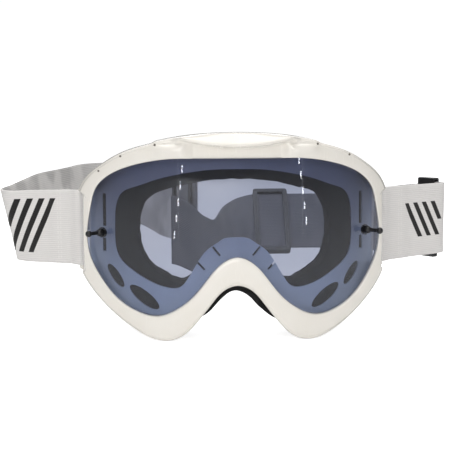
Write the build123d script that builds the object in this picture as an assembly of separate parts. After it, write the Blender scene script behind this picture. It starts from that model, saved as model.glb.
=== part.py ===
from build123d import *
import os
from math import asin, cos, degrees, hypot, radians, sin

# Motorcycle goggles, in millimetres.  +Z is up, the lens looks along -Y, and +X is the
# wearer's left-hand side.  The origin is the middle of the face seal: the point of the
# fleece that rests on the bridge between the brows.

# ---- driving dimensions ------------------------------------------------------------
FACE_DEPTH = 34.0          # lens vertex to face seal, along Y
LENS_R = 112.0             # the lens is a piece of an upright cylinder of this radius
LENS_THICKNESS = 1.2
RIM_PROUD = 3.0            # how far the rim stands in front of the lens
WALL_DEPTH = 12.4          # how far the side wall reaches behind the lens
WALL = 2.6                 # thickness of the side wall
RIM_BACK = 3.6             # depth of the rim behind the lens front
FLANGE_FRONT = 10.6        # depth of the inner flange's front, behind the lens front
FLANGE_THICKNESS = 1.8
GROOVE_CLEARANCE = 0.15
HOLLOW_BACK = WALL_DEPTH + 5.0     # the space behind the rim is open this far back
FLANGE_FIT = 0.1           # gap between the flange's edge and the wall

SEAL_R = 95.0              # the wearer's brow, as an upright cylinder
BASE_FOAM = 3.0
FLEECE = 2.0
GLUE_GAP = 0.05
PAD_OVERLAP = 1.2          # how far a vent's filter pad reaches past the vent
PAD_RECESS = 1.4           # and how far the base foam is cut back for it

STRAP_WIDTH = 45.0
STRAP_THICKNESS = 1.6
STRAP_LEVEL = 1.3          # height of the strap's centre line where it leaves the frame
STRAP_SPLIT_X = 97.0       # beyond this the strap swings on its bar
BAR_X, BAR_Y, BAR_RADIUS = 90.2, 26.0, 1.7
BAR_LET_IN = 1.5           # how far each end of the bar goes into a shoulder
SLEEVE_CLEARANCE = 0.25    # between the bar and the webbing sewn round it
STRAP_HEADING = 37.6       # direction in which the strap leaves the bar, from X

NOTCH_X = 88.2             # outer edge of the rim where the strap passes
NOTCH_LOW, NOTCH_HIGH = -22.9, 24.3
NOTCH_REACH = 20.0
STRAP_ROOM = 2.0           # how much wider the notch is behind the rim
FLANGE_NOTCH_X = 85.2      # the flange stops here beside the strap

POST_X, POST_Z = 77.4, 1.3
POST_LENGTH = 11.4
POST_NECK, POST_HEAD, POST_COLLAR = 1.1, 1.9, 2.1          # radii
POST_FIT = 0.15            # radial gap in the lens's hole
POST_BEHIND = 1.6          # how far a post stands out behind the lens
COLLAR_HEIGHT = 1.0
LOCK_RADIUS, LOCK_THICKNESS = 3.0, 1.2

SLIDER_LENGTH, SLIDER_WIDTH = 51.0, 24.0
SLIDER_BAR = 3.2           # width of each of the three bars, along the strap
SLIDER_HALF_DEPTH = 2.7
SLIDER_CLEARANCE = 0.35
SLIDER_CORNER = 2.0
KEEPER_LENGTH = 13.0       # of the keeper loop, along the strap
KEEPER_WALL = 1.4
KEEPER_SLACK = 1.9         # above and below the webbing inside the loop
KEEPER_GAP = 0.6           # between the loop and the webbing's faces
RIBBON_STEP = 9.0          # distance between the strap's sections on straight runs
TURN_STEP = 12.0           # degrees between them in a turn

AXIS_Y = LENS_R - FACE_DEPTH
SEAL_AXIS_Y = SEAL_R
TALL = 160.0               # longer than anything it cuts
FORWARD = -60.0            # well in front of the goggles

# ---- outlines, seen from the front: right half from brow to nose, (x, z) ---------------
OUTER = [(0, 58.5), (16, 58.0), (30, 56.6), (41, 54.6), (50, 52.5), (64, 48.0), (77, 40.5),
         (86, 33.0), (91, 24.5), (92, 10), (91.9, -8), (90.7, -20), (87, -27.4), (80.5, -35.2),
         (70.5, -44.2), (56.5, -53.4), (43, -58.0), (32.5, -55.8), (23.5, -47.6), (14.8, -36.6),
         (7.5, -28.6), (0, -26.0)]
APERTURE = [(0, 45.1), (20, 45.0), (38, 44.7), (50, 43.0), (61, 40.1), (72.5, 34.6), (79.6, 27.5),
            (83.2, 16), (85.5, 0), (83.8, -12.3), (77.8, -24.0), (67.5, -35.8), (56, -42.3),
            (44, -44.0), (34, -39.8), (25, -32.6), (16.5, -22.0), (9, -13.8), (0, -10.1)]
LENS = [(0, 47.1), (20, 47.0), (38.5, 46.7), (51, 44.9), (62, 41.9), (74, 36.1), (81.1, 28.3),
        (84.8, 16.3), (87.1, 0), (85.3, -12.8), (79.1, -25.0), (68.6, -37.2), (56.7, -44.0),
        (43.7, -45.9), (32.9, -41.5), (23.6, -34.0), (15.0, -23.3), (8, -15.5), (0, -12.0)]
PORT = [(0, 38.6), (16, 38.1), (32, 35.6), (45.5, 32.1), (57, 27.9), (64.5, 24.4), (67.8, 18.5),
        (69.1, 5), (69.1, -4), (66.8, -13.3), (58.5, -21.0), (48, -26.8), (39, -29.5), (32, -29.0),
        (27.5, -24.0), (22, -14.8), (16, -6.9), (9.5, -2.4), (0, -0.1)]
FOAM = [(0, 52.4), (30, 50.8), (47, 47.3), (62, 42.3), (74, 34.5), (81, 23), (82.8, 5), (81.6, -12),
        (75.5, -28), (65, -39.6), (53, -48), (42, -51.8), (31.5, -50.4), (22, -47.4), (13, -40.6),
        (6.5, -33.8), (0, -31.0)]
WINDOW = [(0, 32.8), (20, 31.3), (37, 27.2), (48, 22.4), (53, 14.5), (54.8, 3), (53.8, -7),
          (48.5, -17.6), (39, -23.6), (31, -26.6), (26, -24.8), (21, -17.0), (14, -8.9), (7, -5.0), (0, -4.0)]

# ovals that let air out low in the flange: centre x, centre z, length, width, slope in degrees
LOW_VENTS = [(52.3, -35.9, 20.5, 7.4, 36.5), (69.0, -24.9, 15.5, 5.4, 55.0)]
SIDE_SLOTS = [(75.4, 13.3, 19.5), (75.6, -7.2, 8.0)]        # x, z, length; 2 mm wide
SLOT_WIDTH = 2.0
NOSE_SLITS = [(13.4, -5.4, 9.2, -10.6), (21.9, -14.4, 17.9, -18.7)]
SLIT_WIDTH = 1.2


# ---- straps: how each is laid, seen from above ---------------------------------------------
# A lay is a start, a heading, and runs of (length, 0) or turns of (radius, degrees).  Along it
# the centre's height and the backward lean go through (distance, height, lean) knots.
LEFT_START = (STRAP_SPLIT_X + 0.7, 31.75)
LEFT_LAY = [(46.5, 0), (10, 89.4), (60, 0), (25, 53), (62, 0), (14, 55), (38, 0), (14, -55), (10, 0)]
LEFT_KNOTS = [(0, 1.3, 0), (46, 1.1, 0), (62, 0.8, 0), (85, -2, 2), (105, -3.8, 15), (122, -5, 25),
              (149, -7, 40), (208, -7, 40), (220, -18, 26), (240, -27, 10), (258, -21, 8),
              (272, -11, 6), (285, -6, 4)]
RIGHT_LAY = [(46.5, 0), (10, 89.4), (66, 0), (25, 53), (30, 0), (9, 60), (40, 0)]
RIGHT_KNOTS = [(0, 1.3, 0), (30, -0.2, 2), (46, -1, 9), (62, 0.5, 15), (90, 7.5, 14), (122, 10, 12),
               (150, 14.5, 34),
               (170, 12.5, 34), (188, 5.5, 4), (190.5, 4.5, 0), (240, 4.5, 0)]
LEFT_SLIDER_AT = 192.0     # distance along the lay to the middle of the slider, at rest
RIGHT_SLIDER_AT = 214.6
KEEPER_AT = 70.0           # on the left side only


def on_front(point):
    """A point of an outline, on the XZ plane."""
    return Vector(point[0], 0, point[1])


def prism(half, parts=3):
    """A symmetric outline carried along Y, from before the goggles to the wearer's ears."""
    right = Spline(*[on_front(p) for p in half], tangents=[(1, 0, 0), (-1, 0, 0)])
    cuts = [i / parts for i in range(parts + 1)]
    right_edges = [right.trim(a, b) for a, b in zip(cuts, cuts[1:])]
    left_edges = [edge.mirror(Plane.YZ) for edge in right_edges]
    face = Face(Wire(right_edges + left_edges))
    return extrude(face, amount=TALL, dir=(0, 1, 0)).moved(Location((0, FORWARD, 0)))


def upright_cylinder(radius, axis_y):
    """The front half of a round column about a Z line behind the lens."""
    arc = ThreePointArc((-radius, axis_y), (0, axis_y - radius), (radius, axis_y))
    chord = Line((radius, axis_y), (-radius, axis_y))
    return extrude(make_face([arc, chord]), amount=TALL).moved(Location((0, 0, -TALL / 2)))


def shell(front, back):
    """The space between two depths behind the lens's front surface."""
    return upright_cylinder(LENS_R - front, AXIS_Y) - upright_cylinder(LENS_R - back, AXIS_Y)


def lens_point(x, z, depth=0.0):
    """The point at x, z of the lens, moved inwards by depth along its normal."""
    angle = asin(x / LENS_R)
    radius = LENS_R - depth
    return Vector(radius * sin(angle), AXIS_Y - radius * cos(angle), z)


def oval(x, z, length, width, slope, grow=0.0):
    """An oval column along Y."""
    long_way = (cos(radians(slope)), 0, sin(radians(slope)))
    flat = Plane(origin=(x, FORWARD, z), x_dir=long_way, z_dir=(0, 1, 0))
    return extrude(flat * Ellipse(length / 2 + grow, width / 2 + grow), amount=TALL)


def save(name, solid):
    """One sub-part to its own file."""
    shape = solid if isinstance(solid, (Solid, Compound)) else Compound(list(solid))
    shape.label = name
    export_step(shape, f"parts/{name}.step")


# ---- frame -------------------------------------------------------------------------------
def strap_notch(side, inwards=0.0):
    """The gap beside the rim where the strap comes out, between the two shoulders."""
    height = NOTCH_HIGH - NOTCH_LOW
    middle = (NOTCH_HIGH + NOTCH_LOW) / 2
    from_middle = NOTCH_X - inwards + NOTCH_REACH / 2
    return Box(NOTCH_REACH, TALL, height).moved(Location((side * from_middle, 0, middle)))


def strap_bar(side):
    """The upright bar that the strap's end is sewn around, let into both shoulders."""
    height = NOTCH_HIGH - NOTCH_LOW + 2 * BAR_LET_IN
    middle = (NOTCH_HIGH + NOTCH_LOW) / 2
    return Cylinder(BAR_RADIUS, height).moved(Location((side * BAR_X, BAR_Y, middle)))


def outer_frame():
    """Rim, lens groove and side wall in one moulding."""
    body = prism(OUTER) & shell(-RIM_PROUD, WALL_DEPTH)
    body -= prism(APERTURE)
    body -= prism(LENS) & shell(-GROOVE_CLEARANCE, LENS_THICKNESS + GROOVE_CLEARANCE)
    body -= prism(inset(OUTER, WALL)) & shell(RIM_BACK, HOLLOW_BACK)
    for side in (-1, 1):
        body -= strap_notch(side)
        body -= strap_notch(side, STRAP_ROOM) & shell(RIM_BACK, HOLLOW_BACK)
        body += strap_bar(side)
    return body


def inset(half, distance):
    """An outline's right half moved inwards, each point along the normal at that point."""
    moved = []
    for i, (x, z) in enumerate(half):
        before = half[i - 1] if i else (-half[1][0], half[1][1])
        after = half[i + 1] if i + 1 < len(half) else (-half[-2][0], half[-2][1])
        run, rise = after[0] - before[0], after[1] - before[1]
        size = hypot(run, rise)
        moved.append((x + distance * rise / size, z - distance * run / size))
    return moved


def face_flange():
    """The ring behind the lens that carries the foam, with its eye port and vents."""
    body = prism(inset(OUTER, WALL + FLANGE_FIT)) & shell(FLANGE_FRONT, FLANGE_FRONT + FLANGE_THICKNESS)
    body -= prism(PORT)
    for side in (-1, 1):
        body -= strap_notch(side, NOTCH_X - FLANGE_NOTCH_X)
        for x, z, length, width, slope in LOW_VENTS:
            body -= oval(side * x, z, length, width, side * slope)
        for x, z, length in SIDE_SLOTS:
            body -= Box(SLOT_WIDTH, TALL, length).moved(Location((side * x, 0, z)))
        for x1, z1, x2, z2 in NOSE_SLITS:
            angle = degrees(asin((z1 - z2) / hypot(x1 - x2, z1 - z2)))
            slit = Box(hypot(x1 - x2, z1 - z2), TALL, SLIT_WIDTH)
            slit = slit.moved(Location((0, 0, 0), (0, -angle, 0)))
            slit = slit.moved(Location(((x1 + x2) / 2, 0, (z1 + z2) / 2)))
            body -= slit if side > 0 else mirror(slit, about=Plane.YZ)
    return body


def lens():
    """The curved pane, drilled for the two tear-off posts."""
    pane = prism(LENS) & shell(0, LENS_THICKNESS)
    for side in (-1, 1):
        pane -= along_normal(side, Cylinder(POST_NECK + POST_FIT, 4 * POST_LENGTH))
    return pane


def along_normal(side, solid):
    """A solid made on the origin with +Z outwards, put on the lens at a post."""
    angle = degrees(asin(POST_X / LENS_R))
    seat = lens_point(side * POST_X, POST_Z)
    outwards = Vector(side * sin(radians(angle)), -cos(radians(angle)), 0)
    return Plane(origin=seat, z_dir=outwards).location * solid


def tear_off_post(side):
    """A turned post with a swelling collar on the lens and a ball at its end."""
    upwards = (Align.CENTER, Align.CENTER, Align.MIN)
    root = LENS_THICKNESS + POST_BEHIND
    neck = Cylinder(POST_NECK, root + POST_LENGTH - POST_HEAD, align=upwards)
    neck = neck.moved(Location((0, 0, -root)))
    ball = Sphere(POST_HEAD).moved(Location((0, 0, POST_LENGTH - POST_HEAD)))
    collar = Cylinder(POST_COLLAR, COLLAR_HEIGHT, align=upwards).moved(Location((0, 0, GLUE_GAP)))
    swell = Sphere(POST_COLLAR).moved(Location((0, 0, COLLAR_HEIGHT)))
    swell -= Cylinder(2 * POST_COLLAR, 2 * POST_COLLAR).moved(Location((0, 0, GLUE_GAP - POST_COLLAR)))
    return along_normal(side, neck + ball + collar + swell)


def post_lock(side):
    """The push-on ring that holds a post from behind the lens."""
    ring = Cylinder(LOCK_RADIUS, LOCK_THICKNESS) - Cylinder(POST_NECK + GLUE_GAP, 2 * LOCK_THICKNESS)
    behind = LENS_THICKNESS + GLUE_GAP + LOCK_THICKNESS / 2
    return along_normal(side, ring.moved(Location((0, 0, -behind))))


# ---- foam ----------------------------------------------------------------------------------
def seal_column(depth):
    """Everything behind the face seal's surface, moved forward by depth."""
    return upright_cylinder(SEAL_R, SEAL_AXIS_Y - depth)


def foam_layers():
    """Base, core and fleece: one ring cut into three by curved surfaces."""
    flange_back = FLANGE_FRONT + FLANGE_THICKNESS + GLUE_GAP
    ring = prism(FOAM) - prism(WINDOW)
    base = ring & shell(flange_back, flange_back + BASE_FOAM)
    for side in (-1, 1):
        for x, z, length, width, slope in LOW_VENTS:
            base -= oval(side * x, z, length, width, side * slope, grow=PAD_RECESS)
    behind_base = upright_cylinder(LENS_R - flange_back - BASE_FOAM - GLUE_GAP, AXIS_Y)
    rest = ring & behind_base
    core = rest - seal_column(FLEECE + GLUE_GAP)
    fleece = (rest & seal_column(FLEECE)) - seal_column(0)
    return base, core, fleece


def low_vent_foam(side):
    """Two oval filter pads behind the low vents of one side."""
    back = FLANGE_FRONT + FLANGE_THICKNESS + GLUE_GAP
    space = shell(back, back + BASE_FOAM - GLUE_GAP)
    pads = []
    for x, z, length, width, slope in LOW_VENTS:
        column = oval(side * x, z, length, width, side * slope, grow=PAD_OVERLAP)
        pads += (column & space).solids()
    return pads


# ---- strap ---------------------------------------------------------------------------------
def lay_stations(lay, at=None):
    """Plan positions along a lay as (distance, x, y, heading); at picks a single distance."""
    x, y = LEFT_START
    heading, gone = STRAP_HEADING, 0.0
    stations = [(gone, x, y, heading)]
    for size, turn in lay:
        length = size if turn == 0 else size * radians(abs(turn))
        count = max(1, round(length / RIBBON_STEP if turn == 0 else abs(turn) / TURN_STEP))
        if at is not None and gone <= at <= gone + length:
            count = 1
            length_now, turn_now = at - gone, turn * (at - gone) / length
        else:
            length_now, turn_now = length, turn
        for _ in range(count):
            half = radians(heading + turn_now / count / 2)
            chord = length_now / count
            if turn:
                chord = 2 * size * sin(radians(abs(turn_now) / count / 2))
            x, y = x + chord * cos(half), y + chord * sin(half)
            heading += turn_now / count
            gone += length_now / count
            stations.append((gone, x, y, heading))
        if at is not None and abs(gone - at) < 1e-6:
            return stations[-1]
    return stations


def between(knots, distance):
    """Height and lean at a distance, straight between the knots."""
    for (d1, z1, lean1), (d2, z2, lean2) in zip(knots, knots[1:]):
        if distance <= d2:
            part = (distance - d1) / (d2 - d1)
            return z1 + part * (z2 - z1), lean1 + part * (lean2 - lean1)
    return knots[-1][1:]


def ribbon_axes(heading, lean):
    """Along, across and face directions of the webbing at one station, on the left side."""
    along = Vector(cos(radians(heading)), sin(radians(heading)), 0)
    level = Vector(sin(radians(heading)), -cos(radians(heading)), 0)
    across = Vector(0, 0, 1) * cos(radians(lean)) + level * sin(radians(lean))
    face = level * cos(radians(lean)) - Vector(0, 0, 1) * sin(radians(lean))
    return along, across, face


def ribbon(side, lay, knots):
    """Flat webbing carried along a lay: one solid, ruled between rectangular sections."""
    sections = []
    for distance, x, y, heading in lay_stations(lay):
        z, lean = between(knots, distance)
        along, across, face = ribbon_axes(heading, lean)
        centre = Vector(x, y, z)
        half_w, half_t = across * (STRAP_WIDTH / 2), face * (STRAP_THICKNESS / 2)
        sections.append([centre + half_w + half_t, centre + half_w - half_t,
                         centre - half_w - half_t, centre - half_w + half_t])
    faces = [Face(Wire.make_polygon(sections[0])), Face(Wire.make_polygon(sections[-1]))]
    for here, there in zip(sections, sections[1:]):
        for corner in range(4):
            other = (corner + 1) % 4
            edge = Edge.make_line(here[corner], here[other])
            far_edge = Edge.make_line(there[corner], there[other])
            faces.append(Face.make_surface_from_curves(edge, far_edge))
    body = Solid(Shell(faces))
    return body if side > 0 else body.mirror(Plane.YZ)


def strap_end(side):
    """The sewn end: a sleeve of webbing round the bar and its doubled tongue."""
    hole = BAR_RADIUS + SLEEVE_CLEARANCE
    from_bar = (Align.MIN, Align.CENTER, Align.CENTER)
    reach = 2 * (STRAP_SPLIT_X - BAR_X)
    tongue = Box(reach, STRAP_THICKNESS * 2, STRAP_WIDTH, align=from_bar)
    body = Cylinder(hole + STRAP_THICKNESS, STRAP_WIDTH)
    body += tongue.moved(Location((0, 0, 0), (0, 0, STRAP_HEADING)))
    body -= Cylinder(hole, TALL)
    body = body.moved(Location((BAR_X, BAR_Y, STRAP_LEVEL)))
    past_split = Box(TALL, TALL, TALL, align=from_bar).moved(Location((STRAP_SPLIT_X, BAR_Y, 0)))
    body -= past_split
    return body if side > 0 else mirror(body, about=Plane.YZ)


def strap_keeper(lay, knots, at):
    """A flat loop that slips over the webbing and holds its loose fold."""
    distance, x, y, heading = lay_stations(lay, at)
    z, lean = between(knots, distance)
    along, across, face = ribbon_axes(heading, lean)
    thick = STRAP_THICKNESS + 2 * KEEPER_GAP
    tall = STRAP_WIDTH + 2 * KEEPER_SLACK
    loop = Box(KEEPER_LENGTH, thick + 2 * KEEPER_WALL, tall + 2 * KEEPER_WALL)
    loop = fillet(loop.edges().filter_by(Axis.X), KEEPER_WALL * 0.9)
    loop -= Box(2 * KEEPER_LENGTH, thick, tall)
    return Plane(origin=(x, y, z), x_dir=along, z_dir=across).location * loop


def slider(side, lay, knots, at):
    """Three-bar slider: its outer bars pass one face of the webbing, its middle bar the other."""
    distance, x, y, heading = lay_stations(lay, at)
    z, lean = between(knots, distance)
    along, across, face = ribbon_axes(heading, lean)
    webbing = STRAP_THICKNESS / 2 + SLIDER_CLEARANCE
    bar_depth = SLIDER_HALF_DEPTH - webbing
    rail = (SLIDER_LENGTH - STRAP_WIDTH) / 2 - SLIDER_CLEARANCE
    body = None
    for end in (-1, 1):
        rail_z = end * (SLIDER_LENGTH - rail) / 2
        piece = Box(SLIDER_WIDTH, SLIDER_HALF_DEPTH * 2, rail).moved(Location((0, 0, rail_z)))
        body = piece if body is None else body + piece
    for bar_x, bar_face in ((-1, 1), (0, -1), (1, 1)):
        bar_y = bar_face * (webbing + bar_depth / 2)
        bar_at = bar_x * (SLIDER_WIDTH - SLIDER_BAR) / 2
        body += Box(SLIDER_BAR, bar_depth, SLIDER_LENGTH).moved(Location((bar_at, bar_y, 0)))
    upright = body.edges().filter_by(Axis.Y).group_by(SortBy.LENGTH)[-1]
    corners = upright.filter_by(lambda edge: abs(edge.center().X) > SLIDER_WIDTH / 2 - SLIDER_BAR / 2)
    body = fillet(corners, SLIDER_CORNER)
    body = Plane(origin=(x, y, z), x_dir=along, z_dir=across).location * body
    return body if side > 0 else mirror(body, about=Plane.YZ)


if __name__ == "__main__":
    os.makedirs("parts", exist_ok=True)
    save("strap_left", ribbon(1, LEFT_LAY, LEFT_KNOTS))
    save("strap_right", ribbon(-1, RIGHT_LAY, RIGHT_KNOTS))
    save("strap_end_left", strap_end(1))
    save("strap_end_right", strap_end(-1))
    save("strap_keeper_left", strap_keeper(LEFT_LAY, LEFT_KNOTS, KEEPER_AT))
    save("slider_left", slider(1, LEFT_LAY, LEFT_KNOTS, LEFT_SLIDER_AT))
    save("slider_right", slider(-1, RIGHT_LAY, RIGHT_KNOTS, RIGHT_SLIDER_AT))
    save("outer_frame", outer_frame())
    save("face_flange", face_flange())
    save("lens", lens())
    for side, word in ((-1, "right"), (1, "left")):
        save(f"tear_off_post_{word}", tear_off_post(side))
        save(f"post_lock_{word}", post_lock(side))
        save(f"low_vent_foam_{word}", low_vent_foam(side))
    base, core, fleece = foam_layers()
    save("foam_base", base)
    save("foam_core", core)
    save("face_fleece", fleece)
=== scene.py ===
import logging
import math
from dataclasses import dataclass, field
from enum import Enum

import bpy
import numpy as np
from mathutils import Matrix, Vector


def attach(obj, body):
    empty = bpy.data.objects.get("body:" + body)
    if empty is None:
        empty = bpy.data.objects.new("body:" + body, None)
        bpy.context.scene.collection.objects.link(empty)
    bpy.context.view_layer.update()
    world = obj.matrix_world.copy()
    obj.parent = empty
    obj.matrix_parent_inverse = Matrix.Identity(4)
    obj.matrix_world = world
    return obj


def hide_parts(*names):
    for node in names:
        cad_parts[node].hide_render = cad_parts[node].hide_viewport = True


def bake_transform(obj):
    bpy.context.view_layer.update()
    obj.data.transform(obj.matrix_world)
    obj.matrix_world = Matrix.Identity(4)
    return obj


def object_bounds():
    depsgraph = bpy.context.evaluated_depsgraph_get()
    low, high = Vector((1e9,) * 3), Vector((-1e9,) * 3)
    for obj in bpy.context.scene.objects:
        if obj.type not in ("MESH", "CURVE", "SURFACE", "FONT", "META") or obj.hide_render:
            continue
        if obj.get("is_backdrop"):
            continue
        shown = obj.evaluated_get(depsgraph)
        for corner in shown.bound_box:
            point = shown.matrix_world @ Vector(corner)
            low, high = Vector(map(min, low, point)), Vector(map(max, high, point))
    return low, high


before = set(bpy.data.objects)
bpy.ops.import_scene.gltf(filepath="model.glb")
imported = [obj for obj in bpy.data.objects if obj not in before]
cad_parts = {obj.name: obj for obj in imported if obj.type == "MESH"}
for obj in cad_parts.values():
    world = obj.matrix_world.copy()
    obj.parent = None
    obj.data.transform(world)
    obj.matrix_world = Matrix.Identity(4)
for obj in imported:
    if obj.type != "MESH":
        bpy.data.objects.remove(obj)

# Motorcycle goggles: a curved smoke lens in a glossy pearl rim, layered face foam, an elastic
# strap on two upright bars, and its black sliders.  Sizes in the classes are in millimetres
# unless a name says otherwise; every mesh is written in metres, in the frame of the model.

log = logging.getLogger("goggles")
MM = 0.001
INNER_V = 0.050             # where the webbing's inner face starts in its map, in metres
SAMPLES_PER_KNOT = 24
Outline = list[tuple[float, float]]


# ---- curves and meshes -----------------------------------------------------------------

def smooth(low: float, high: float, value: np.ndarray) -> np.ndarray:
    """Zero below low, one above high, and the cubic 3t^2 - 2t^3 between them."""
    part = np.clip((value - low) / (high - low), 0.0, 1.0)
    return part * part * (3.0 - 2.0 * part)


def spline_through(points: np.ndarray, count: int, level_ends: bool = True) -> np.ndarray:
    """A smooth curve through points, sampled evenly along its length.

    The curve is a cubic Hermite one over the chord length d: between knots i and i + 1 it is
    h00 p(i) + h10 m(i) + h01 p(i+1) + h11 m(i+1), where the slopes m come from the condition
    that the second derivative is continuous, which is one linear system for all knots.

    Args:
        points: Knots, one row each.
        count: Samples wanted.
        level_ends: Whether the ends run along the first coordinate, as at a mirror plane.

    Returns:
        The samples, one row each.
    """
    points = np.asarray(points, float)
    chord = np.linalg.norm(np.diff(points, axis=0), axis=1)
    knots = np.concatenate([[0.0], np.cumsum(chord)])
    size = len(points)
    system = np.zeros((size, size))
    target = np.zeros_like(points)
    inner = np.arange(1, size - 1)
    system[inner, inner - 1] = chord[1:]
    system[inner, inner] = 2.0 * (chord[:-1] + chord[1:])
    system[inner, inner + 1] = chord[:-1]
    rise = np.diff(points, axis=0) / chord[:, None]
    target[inner] = 3.0 * (rise[:-1] * chord[1:, None] + rise[1:] * chord[:-1, None])
    system[0, 0] = system[-1, -1] = 1.0
    target[0], target[-1] = rise[0], rise[-1]
    if level_ends:
        target[0] = target[-1] = 0.0
        target[0, 0], target[-1, 0] = 1.0, -1.0
    slope = np.linalg.solve(system, target)
    fine = np.linspace(0.0, knots[-1], SAMPLES_PER_KNOT * size)
    span = np.clip(np.searchsorted(knots, fine, side="right") - 1, 0, size - 2)
    width = chord[span][:, None]
    t = ((fine - knots[span]) / chord[span])[:, None]
    curve = ((1 + 2 * t) * (1 - t) ** 2 * points[span] + t * (1 - t) ** 2 * width * slope[span]
             + t * t * (3 - 2 * t) * points[span + 1] + t * t * (t - 1) * width * slope[span + 1])
    return resampled(curve, count)


def resampled(curve: np.ndarray, count: int) -> np.ndarray:
    """A polyline cut into points evenly spaced along its length.

    Args:
        curve: Its points, one row each.
        count: Points wanted.

    Returns:
        The new points.
    """
    gone = np.concatenate([[0.0], np.cumsum(np.linalg.norm(np.diff(curve, axis=0), axis=1))])
    even = np.linspace(0.0, gone[-1], count)
    return np.stack([np.interp(even, gone, curve[:, k]) for k in range(curve.shape[1])], axis=1)


def grid_faces(rows: int, columns: int, close_rows: bool, close_columns: bool) -> np.ndarray:
    """Quads of a grid of points numbered row by row.

    Args:
        rows: Rows of points.
        columns: Points in a row.
        close_rows: Whether the last row joins the first.
        close_columns: Whether each row's last point joins its first.

    Returns:
        Four point numbers for each quad.
    """
    i = np.arange(rows if close_rows else rows - 1)[:, None]
    j = np.arange(columns if close_columns else columns - 1)[None, :]
    i2, j2 = (i + 1) % rows, (j + 1) % columns
    return np.stack([i * columns + j, i * columns + j2, i2 * columns + j2, i2 * columns + j],
                    axis=-1).reshape(-1, 4)


def outward(points: np.ndarray, faces: np.ndarray) -> np.ndarray:
    """Quads of a closed form, turned over where they enclose a negative volume.

    The volume is a sixth of the sum, over both triangles of each quad, of a . (b x c), with
    the corners measured from the form's middle.

    Args:
        points: One row a point.
        faces: One row a quad.

    Returns:
        The quads, facing outwards.
    """
    corner = (points - points.mean(axis=0))[faces]
    a, b, c, d = (corner[:, k] for k in range(4))
    volume = (a * np.cross(b, c)).sum() + (a * np.cross(c, d)).sum()
    return faces if volume > 0 else faces[:, ::-1]


def new_piece(name: str, points: np.ndarray, faces: np.ndarray, finish: bpy.types.Material,
              uv: np.ndarray | None = None, caps: list[np.ndarray] | None = None,
              closed: bool = True) -> bpy.types.Object:
    """A mesh object from points in millimetres.

    Args:
        name: The piece's name.
        points: One row a point.
        faces: One row a quad.
        finish: Its material.
        uv: A map position for each point, if it has one.
        caps: Rings of point numbers that each close an end with one face.
        closed: Whether it encloses a space, so that its faces can be turned outwards.

    Returns:
        The object, at the origin.
    """
    mesh = bpy.data.meshes.new(name)
    points = np.asarray(points).reshape(-1, 3)
    turned = outward(points, faces) if closed else faces
    if turned is not faces and caps:
        caps = [ring[::-1] for ring in caps]
    polygons = turned.tolist() + [ring.tolist() for ring in (caps or [])]
    mesh.from_pydata((points * MM).tolist(), [], polygons)
    if uv is not None:
        corners = np.empty(len(mesh.loops), dtype=np.int32)
        mesh.loops.foreach_get("vertex_index", corners)
        layer = mesh.uv_layers.new(name="Lay")
        layer.data.foreach_set("uv", uv.reshape(-1, 2)[corners].astype(np.float32).ravel())
    mesh.polygons.foreach_set("use_smooth", np.ones(len(mesh.polygons), dtype=bool))
    mesh.materials.append(finish)
    mesh.validate()
    mesh.update()
    obj = bpy.data.objects.new(name, mesh)
    bpy.context.scene.collection.objects.link(obj)
    return obj


def joined(*pieces: tuple[np.ndarray, np.ndarray]) -> tuple[np.ndarray, np.ndarray]:
    """Several closed forms put together, with their quads numbered on.

    Args:
        pieces: Points and quads of each.

    Returns:
        The points and the quads of all.
    """
    starts = np.cumsum([0] + [len(points) for points, _ in pieces[:-1]])
    return (np.concatenate([points for points, _ in pieces]),
            np.concatenate([outward(points, faces) + start
                            for (points, faces), start in zip(pieces, starts)]))


# ---- node graphs -----------------------------------------------------------------------

@dataclass
class Graph:
    """A shader node tree while it is being put together."""

    tree: bpy.types.NodeTree

    def add(self, kind: str, inputs: dict | None = None, **settings) -> bpy.types.Node:
        """A new node.

        Args:
            kind: Its type without the leading "ShaderNode".
            inputs: Values or sockets for its inputs, by name or number.
            settings: Properties of the node itself.

        Returns:
            The node.
        """
        node = self.tree.nodes.new(kind if kind.startswith("Node") else "ShaderNode" + kind)
        for name, value in settings.items():
            setattr(node, name, value)
        for name, value in (inputs or {}).items():
            self.feed(node.inputs[name], value)
        return node

    def feed(self, socket: bpy.types.NodeSocket, value: object) -> None:
        """Links a socket to another, or sets its value."""
        if isinstance(value, bpy.types.NodeSocket):
            self.tree.links.new(value, socket)
        else:
            socket.default_value = value

    def math(self, operation: str, a: object, b: object = 0.0, clamp: bool = False
             ) -> bpy.types.NodeSocket:
        """The result of a Math node."""
        return self.add("Math", {0: a, 1: b}, operation=operation, use_clamp=clamp).outputs[0]

    def times(self, a: object, b: object) -> bpy.types.NodeSocket:
        """The product of two values."""
        return self.math("MULTIPLY", a, b)

    def plus(self, a: object, b: object) -> bpy.types.NodeSocket:
        """The sum of two values."""
        return self.math("ADD", a, b)

    def ramp(self, value: object, low: float, high: float, to_low: float = 0.0,
             to_high: float = 1.0) -> bpy.types.NodeSocket:
        """A value carried smoothly from one range to another, and held at its ends.

        Args:
            value: The value.
            low: Where it starts.
            high: Where it ends.
            to_low: The result at and before low.
            to_high: The result at and after high.

        Returns:
            The result.
        """
        node = self.add("MapRange", {0: value, 1: low, 2: high, 3: to_low, 4: to_high},
                        interpolation_type="SMOOTHSTEP")
        return node.outputs[0]

    def mix(self, factor: object, a: object, b: object) -> bpy.types.NodeSocket:
        """A colour between two."""
        return self.add("Mix", {0: factor, 6: a, 7: b}, data_type="RGBA").outputs[2]

    def bump(self, height: object, strength: float, distance: float) -> bpy.types.NodeSocket:
        """A normal from a height in metres times distance."""
        return self.add("Bump", {"Height": height, "Strength": strength,
                                 "Distance": distance}).outputs[0]


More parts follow.
